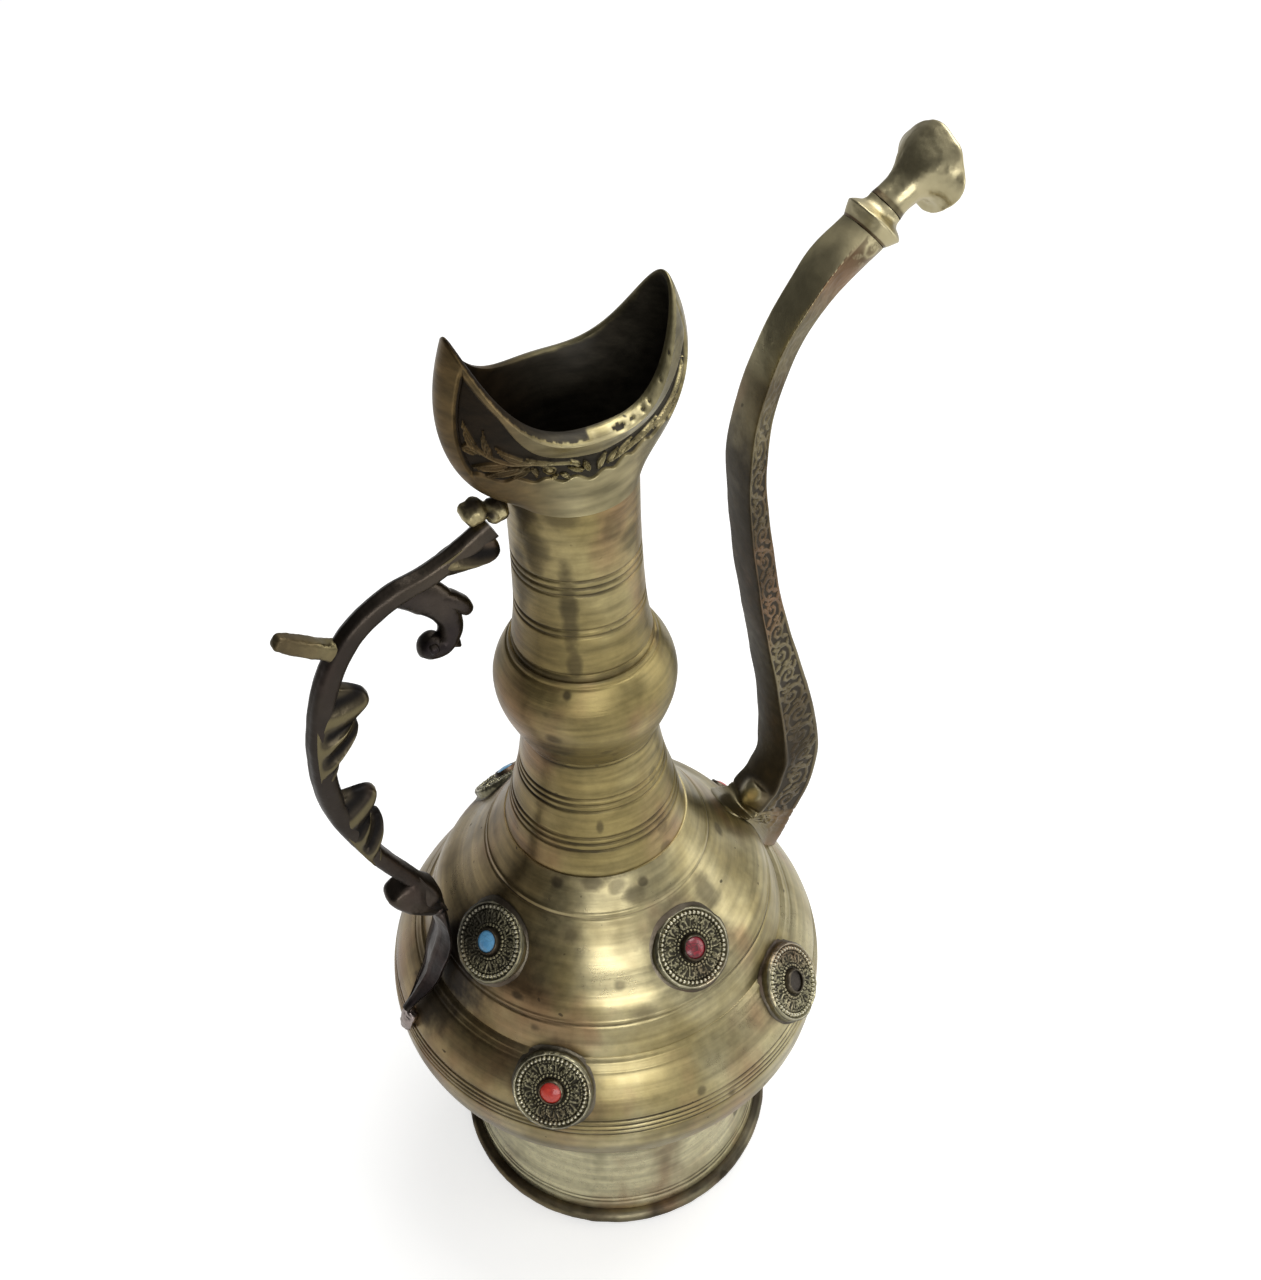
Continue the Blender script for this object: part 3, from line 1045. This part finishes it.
def leaf_piece(name, node, edge, height, side, ribs, lift, lean=0.55, metal=leaf_bronze):
    """A cast leaf on the bar, inside its bend where side is -1. edge lists (place in hundredths
    of the bar's length, share of the leaf's height) from its top round its lobes and down."""
    edge = smooth_line(edge, 12)
    low_place, high_place = edge[-1, 0], edge[0, 0]

    def place(u, v):
        out = 1 - np.abs(2 * u - 1)                    # 0 in the bar, 1 at the leaf's edge
        face = np.where(u < 0.5, 1.0, -1.0)
        edge_at, edge_up = at_share(edge, v)
        root_at = low_place + (high_place - low_place) * (1 - v) ** 1.6
        mid_at = root_at + (edge_at - root_at) * (1 - lean)
        blend = [(1 - out) ** 2, 2 * out * (1 - out), out ** 2]
        at = blend[0] * root_at + blend[1] * mid_at + blend[2] * edge_at
        up = blend[0] * -4.4 + blend[1] * edge_up * height * 0.5 + blend[2] * edge_up * height
        swell = np.sqrt(np.clip(1 - out ** 5, 0, 1)) * np.clip(np.sin(math.pi * v), 0, 1) ** 0.35
        furrow = 0.5 + 0.5 * np.cos(math.tau * ribs * v)
        thick = 0.35 + (lift - 1.0) * swell + 1.0 * furrow * swell * step_at(out, 0.0, 0.3)
        points = beside(at * BAR_LEN / 100, face * thick * (out < 0.999), up, side)
        relief = 1 - (1 - furrow) * 0.9 * step_at(out, 0.0, 0.2)
        return turned_back(points), np.clip(relief, 0, 1)

    piece = rolled(name, 220, 72, place)
    dented(piece, 0.3, 4)
    dress(piece, metal, "dark_brass", node, angle=55)


leaf_piece("leaf_upper", "handle_upper_leaf", [
    (27.6, -0.2), (27.8, 0.45), (28.5, 0.92), (29.9, 1.12), (31.2, 1.0), (31.9, 0.74),
    (32.4, 0.60), (33.3, 0.76), (34.4, 0.84), (35.3, 0.66), (36.0, 0.42), (38.0, 0.2),
    (41.5, -0.1), (44.0, -0.35)], 7.3, -1, 4.5, lift=3.7)
leaf_piece("leaf_lower", "handle_lower_leaf", [
    (46.8, -0.2), (46.9, 0.3), (47.4, 0.82), (48.7, 1.06), (49.9, 0.94), (50.7, 0.66),
    (51.2, 0.50), (52.4, 0.62), (53.6, 0.76), (54.8, 0.60), (55.6, 0.34), (57.0, 0.12),
    (59.4, -0.1), (62.0, -0.3)], 7.3, -1, 4.5, lift=3.6)
leaf_piece("leaf_inner", "handle_inner_leaf", [
    (0.3, -0.4), (0.5, 0.25), (0.62, 0.55), (1.05, 0.95), (1.8, 1.0), (3.2, 0.70), (5.4, 0.38),
    (8.2, -0.1)], 4.4, -1, 1.5, lift=2.9)
leaf_piece("leaf_foot", "handle_foot_leaf", [
    (68.6, -0.2), (68.4, 0.552), (68.9, 1.02), (70.3, 1.1), (72.0, 0.92), (73.6, 0.74),
    (75.6, 0.5), (78.4, -0.1)], 5.8, 1, 0, lift=4.6, lean=0.2, metal=bronze)


def swept(name, route, rows, sides, power=1.0):
    """A solid limb along a route of (x, y, z, half width, half depth) in the XZ plane, with
    rounded ends."""
    route = smooth_line(route, 10)
    tilts = np.unwrap(np.arctan2(np.gradient(route[:, 2]), np.gradient(route[:, 0])))
    route = np.column_stack([route, tilts])

    def place(u, v):
        share, close, into_end = capped(v, 0.06)
        x, y, z, width, deep, tilt = at_share(route, share)
        past = np.where(v < 0.5, -1, 1) * into_end * width * 0.7
        angle = math.tau * u
        across = squared(np.cos(angle), power) * width * close
        out = squared(np.sin(angle), power) * deep * close
        points = np.stack([x - across * np.sin(tilt) + past * np.cos(tilt), y + out,
                           z + across * np.cos(tilt) + past * np.sin(tilt)], axis=1)
        return points, np.clip(0.9 + 0.25 * np.cos(2 * angle), 0, 1)
    return rolled(name, rows, sides, place)


def joined(piece, *others):
    """Makes one piece of several limbs."""
    alone(piece, *others)
    bpy.ops.object.join()
    return piece


scroll = joined(
    swept("handle_volute", [
        (-43.0, 0, 246.0, 3.4, 2.2), (-38.4, 0, 243.6, 4.6, 2.5), (-34.9, 0, 239.6, 4.1, 2.7),
        (-33.2, 0, 235.0, 3.2, 2.8), (-33.3, 0, 230.8, 3.0, 2.8), (-35.2, 0, 228.0, 2.8, 2.9),
        (-37.9, 0, 228.0, 3.3, 3.1), (-38.9, 0, 228.9, 3.5, 3.1)], 160, 48),
    swept("volute_barb", [(-33.6, 0, 228.4, 1.8, 2.2), (-32.4, 0, 226.6, 1.3, 1.7),
                          (-31.6, 0, 225.2, 0.5, 0.8)], 40, 24),
    swept("volute_lobe", [(-38.0, 0, 244.2, 1.6, 2.0), (-33.4, 0, 240.9, 2.3, 2.6),
                          (-30.0, 0, 237.5, 2.4, 2.5), (-28.6, 0, 235.4, 1.8, 1.9)], 80, 32),
    swept("volute_eye", [(-38.9, -2.2, 229.2, 1.5, 1.6), (-38.2, -2.2, 229.3, 1.5, 1.6)], 40, 24))
dented(scroll, 0.4, 5)
dress(scroll, bronze, "dark_brass", "handle_scroll", angle=50)

# The arm that once held a thumb piece or the lid's chain is broken off, its metal still golden.
arm_brass = brass("arm_brass", turned=False, bump=0.00012, Bright=(0.22, 0.185, 0.095),
                  Dull=(0.135, 0.11, 0.055), Copper=(0.18, 0.12, 0.06), Tarnish=0.7, Spots=0.7,
                  polish=0.45, Seed=4.4)
stub = swept("broken_arm", [
    (-60.6, 0, 237.4, 2.5, 2.3), (-62.6, 0, 238.8, 2.3, 2.1), (-65.5, 0, 240.9, 2.3, 2.1),
    (-69.2, 0, 243.6, 2.2, 2.0), (-72.0, 0, 245.7, 1.9, 1.7)], 90, 40, power=0.62)
dented(stub, 0.6, 3.2)
dress(stub, arm_brass, "worn_brass", "handle_stub", angle=45)

# Two rubbed lobes of the casting meet the neck.
knuckle_dirt = [((x * mm, y * mm, z * mm), wide * mm, 0.8 * wide * mm, 1.0) for x, y, z, wide in (
    (-24.5, -0.5, 265.5, 4.4), (-18.6, -0.5, 264.4, 4.2), (-21.4, -3.0, 261.8, 2.2),
    (-17.0, -3.0, 259.4, 1.9), (-26.6, -2.4, 259.6, 1.9))]
worn_brass = brass("worn_brass", turned=False, bump=0.00012, stains=knuckle_dirt,
                   Bright=(0.72, 0.64, 0.38), Dull=(0.46, 0.38, 0.19), Tarnish=0.9, Spots=1.0,
                   polish=0.65, Seed=4.9)
knuckle = joined(
    swept("knuckle", [(-24.9, 0.2, 261.4, 2.9, 3.2), (-23.0, 0.2, 262.2, 3.0, 3.3)], 60, 40),
    swept("knuckle_lobe", [(-20.0, -0.4, 260.8, 2.7, 3.1), (-18.0, -0.4, 261.0, 2.7, 3.2)],
          60, 40))
dented(knuckle, 1.1, 2.6)
dress(knuckle, worn_brass, "worn_brass", "handle_knuckle", angle=60)

# Below its tip the handle is held to the belly by a lump of solder.
solder = brass("old_solder", turned=False, bump=0.0001, Bright=(0.52, 0.47, 0.44),
               Dull=(0.26, 0.20, 0.18), Copper=(0.36, 0.20, 0.17), Tarnish=0.7, Spots=0.6,
               polish=0.75, Seed=5.2)
lump = swept("solder_lump", [(-62.6, 0.0, 93.4, 1.5, 2.7), (-64.0, 0.0, 90.4, 1.6, 3.0),
                             (-64.6, 0.3, 87.6, 1.2, 2.3)], 60, 40)
dented(lump, 1.3, 2.8)
dress(lump, solder, "dark_brass", "handle_rivet", angle=60)


# ---- Medallions ----
# Seven domed discs of embossed brass, black in their relief: a plain wire and a row of beads
# round the edge, filigree between, and a ring of grains round the stone. Each is soldered
# on, with a grey skirt of solder showing all round.
MEDAL_R, MEDAL_UP, STONE_R = 11.25, 1.5, 3.0


def belly_place(azimuth, height):
    """The frame of a point on the belly, with Z pointing off it."""
    radius = float(on_belly(height, 0))
    slope = float(on_belly(height + 2, 0) - on_belly(height - 2, 0)) / 4
    return (Matrix.Rotation(math.radians(azimuth), 4, "Z")
            @ Matrix.Translation((radius * mm, 0, height * mm))
            @ Matrix.Rotation(math.atan2(1, -slope), 4, "Y"))


def ring_of_beads(x, y, radius, size, count, phase=0.0):
    """Half balls at even places on a circle."""
    place = np.arctan2(y, x) * count / math.tau + phase
    off = (place - np.round(place)) * math.tau * radius / count
    away = np.hypot(off, np.hypot(x, y) - radius) / size
    return np.sqrt(np.clip(1 - away ** 2, 0, 1))


def filigree(x, y):
    """Fourteen small volutes, each with a leaf and grains beside it, between two fine rows."""
    count, radius = 14, 6.9
    place = np.arctan2(y, x) * count / math.tau
    cell = np.round(place)
    off = (place - cell) / count * math.tau * radius * np.where(cell % 2 == 0, 1, -1)
    out = np.hypot(x, y) - radius
    off, out = off + 0.35 * np.sin(cell * 2.3), out + 0.4 * np.sin(cell * 1.7)
    volute = [(-1.3, -1.3), (-0.8, 0.7), (0.1, 1.1), (0.7, 0.4), (0.2, -0.2)]
    grains = [((-0.9, 1.4), 0.40), ((0.0, -1.2), 0.40), ((1.3, -0.3), 0.36)]
    return np.max([0.9 * stem(off, out, volute, 0.24),
                   embossed(off, out, [], [((0.7, -1.2), (1.2, 1.1), 0.8, 0.1)], grains),
                   0.85 * ring_of_beads(x, y, 5.5, 0.34, 37, 0.2),
                   0.85 * ring_of_beads(x, y, 8.3, 0.34, 61, 0.5)], axis=0)


def medal_skin(u, v):
    """The disc, with v from its middle to the foot of its rim."""
    face_v = 0.9                                       # beyond it the rim turns down
    out = np.clip(v, 0, face_v) / face_v * MEDAL_R
    angle = math.tau * u
    x, y = out * np.cos(angle), out * np.sin(angle)
    wire = bump_at(out - 10.55, 0.42)
    beads = ring_of_beads(x, y, 9.35, 0.66, 46)
    grains = ring_of_beads(x, y, 4.55, 0.44, 26, 0.3)
    lace = filigree(x, y) * step_at(out, 5.1, 5.4) * (1 - step_at(out, 8.5, 8.8))
    high = np.max([0.9 * wire, beads, 0.75 * grains, 0.62 * lace], axis=0)
    z = MEDAL_UP - 0.35 + 0.35 * (1 - (out / MEDAL_R) ** 2) + 0.72 * high
    z -= 3.6 * step_at(v, face_v, 1.0) ** 0.7
    relief = np.where(v > face_v, 0.4, high)
    return np.stack([x, y, z], axis=1), np.clip(relief, 0, 1)


def placed(piece, azimuth, height, spin=0.0):
    """Stands a piece that was made round the origin on the belly."""
    piece.data.transform(belly_place(azimuth, height) @ Matrix.Rotation(spin, 4, "Z"))
    alone(piece)
    made_whole()


medal_brass = brass("medallion_brass", turned=False, relief=(0.30, 1.05, 0.85), bump=0.00005,
                    stains=[stain(-180, 126, 16, 22, 1.0)], rubbed=(0.66, 0.62, 0.48),
                    Bright=(0.38, 0.35, 0.22), Dull=(0.24, 0.215, 0.13),
                    Dark=(0.045, 0.040, 0.028), Copper=(0.20, 0.08, 0.05), Tarnish=0.6,
                    polish=0.75, Seed=6.1)
skirt_solder = brass("skirt_solder", turned=False, bump=0.00012, Bright=(0.19, 0.165, 0.12),
                     Dull=(0.095, 0.080, 0.058), Copper=(0.12, 0.075, 0.05), Tarnish=0.8,
                     Spots=0.6, polish=0.35, Seed=7.7)
bezel_brass = brass("bezel_brass", turned=False, bump=0.00006, Bright=(0.16, 0.135, 0.09),
                    Dull=(0.075, 0.062, 0.045), Tarnish=0.8, Spots=0.6, polish=0.6, Seed=8.2)


def skirt_skin(u, v):
    """A low collar of solder from under the disc down to the belly, uneven in width."""
    angle = math.tau * u
    ragged = 0.3 * np.sin(2 * angle + 1) + 0.14 * np.sin(5 * angle + 2) + 0.06 * np.sin(11 * angle)
    out = 10.6 + (1.5 + ragged) * v
    z = 0.7 * (1 - v) ** 1.2 + 0.02 * (out - 10.6)
    return np.stack([out * np.cos(angle), out * np.sin(angle), z], axis=1), np.ones(len(v))


def seated_skirt(name, azimuth, height):
    """The skirt, pressed on to the belly's own surface."""
    piece = rolled(name, 14, 160, skirt_skin)
    points = corners(piece)
    above = points[:, 2] / mm
    place = np.array(belly_place(azimuth, height))
    points = (points * [1, 1, 0]) @ place[:3, :3].T + place[:3, 3]
    for _ in range(3):
        far = np.interp(points[:, 2] / mm, belly_line[:, 1], belly_line[:, 0])
        now = np.hypot(points[:, 0], points[:, 1]) / mm
        points += ((far + 0.12 - now) * mm)[:, None] * place[:3, 2]
    move_corners(piece, points + (above * mm)[:, None] * place[:3, 2])
    return piece


for number, (azimuth, height) in enumerate(MEDALS, 1):
    random.seed(number)
    disc = rolled("medallion_%d_disc" % number, 72, 380, medal_skin)
    dented(disc, 0.5, 5)
    dented(disc, 0.35, 1.5)
    placed(disc, azimuth, height, random.uniform(0, 6))
    dress(disc, medal_brass, "medallion_brass", "medallion_%d" % number, angle=60)
    skirt = seated_skirt("medallion_%d_skirt" % number, azimuth, height)
    dress(skirt, skirt_solder, "medallion_brass", angle=60)


# ---- Bezels ----
# A thin strip of brass bent round each stone and pressed over its edge. One is empty, with
# dark cement left in it.
bezel_outline = [(STONE_R + wider, MEDAL_UP + higher) for wider, higher in (
    (0.05, -0.3), (0.05, 1.05), (-0.1, 1.3), (0, 1.5), (0.25, 1.5), (0.5, 1.2), (0.65, 0.5),
    (0.9, -0.3))]
for number, (azimuth, height) in enumerate(MEDALS, 1):
    bezel = turn("bezel_%d_ring" % number, bezel_outline, 64)
    dented(bezel, 0.25, 2.2)
    placed(bezel, azimuth, height, number * 1.3)
    dress(bezel, bezel_brass, "worn_brass", "bezel_%d" % number, angle=50)

cement, net, shader = new_paint("dark_cement")
here = net.here()
bump = net.add("Bump", {"Distance": 0.0002, "Height": net.noise(here, 1400, 4)})
net.feed(shader, {
    "Base Color": net.mix(net.noise(here, 900), (0.035, 0.028, 0.022), (0.09, 0.075, 0.06)),
    "Roughness": 0.9, "Normal": bump.outputs["Normal"]})
EMPTY = 5                                              # the medallion that lost its stone
empty_seat = turn("empty_seat", [
    (0.0, MEDAL_UP - 0.4), (0.01, MEDAL_UP + 0.25), (1.6, MEDAL_UP + 0.3),
    (STONE_R, MEDAL_UP + 0.45), (STONE_R, MEDAL_UP - 0.4)], 48)
dented(empty_seat, 0.3, 1.5)
placed(empty_seat, *MEDALS[EMPTY - 1])
empty_seat.data.materials.append(cement)
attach(empty_seat, "root")


# ---- Cabochons ----
# Round stones with a domed polish: turquoise on the far side and by the handle, red coral
# and a darker cracked red glass elsewhere.
def stone_paint(name, deep, light, veins, vein_amount, rough):
    """Clouded stone from deep to light, with a net of cracks, and polished."""
    made, net, shader = new_paint(name)
    here = net.here()
    colour = net.mix(net.span(net.noise(here, 500, 4), 0.35, 0.65), deep, light)
    edges = net.add("TexVoronoi", {"Vector": here, "Scale": 520.0}, feature="DISTANCE_TO_EDGE")
    sound = net.span(edges.outputs["Distance"], 0.0, 0.07)
    crack = net.times(net.math("SUBTRACT", 1.0, sound), vein_amount)
    bump = net.add("Bump", {"Distance": 0.00005, "Height": net.noise(here, 1200, 3)})
    net.feed(shader, {
        "Base Color": net.mix(crack, colour, veins),
        "Roughness": net.times_plus(crack, 0.3, rough), "Coat Weight": 0.5,
        "Coat Roughness": 0.12, "Normal": bump.outputs["Normal"]})
    return made


turquoise = stone_paint("turquoise", (0.08, 0.28, 0.52), (0.14, 0.40, 0.66),
                        (0.06, 0.12, 0.16), 0.25, 0.35)
coral = stone_paint("red_coral", (0.50, 0.028, 0.018), (0.64, 0.06, 0.035),
                    (0.25, 0.015, 0.01), 0.2, 0.32)
deep_red = stone_paint("cracked_red", (0.20, 0.008, 0.018), (0.33, 0.020, 0.034),
                       (0.035, 0.006, 0.006), 0.85, 0.28)
STONES = {1: (turquoise, "turquoise_stone"), 2: (deep_red, "red_stone"),
          3: (turquoise, "turquoise_stone"), 4: (coral, "red_stone"), 6: (coral, "red_stone"),
          7: (coral, "red_stone")}
DOME_ANGLE = math.radians(52)
dome_r = STONE_R / math.sin(DOME_ANGLE)
stone_outline = [(0, MEDAL_UP + 0.1), (STONE_R - 0.05, MEDAL_UP + 0.1),
                 (STONE_R - 0.05, MEDAL_UP + 1.0)]
stone_outline += [(dome_r * math.sin(fall), MEDAL_UP + 1.05 + 0.62 * dome_r * (
    math.cos(fall) - math.cos(DOME_ANGLE))) for fall in np.radians(np.linspace(51, 0, 14))]
for number, (paint, slot) in STONES.items():
    stone = turn("cabochon_%d_stone" % number, stone_outline, 64)
    dented(stone, 0.12, 2.5)
    placed(stone, *MEDALS[number - 1])
    dress(stone, paint, slot, "cabochon_%d" % number, angle=40)
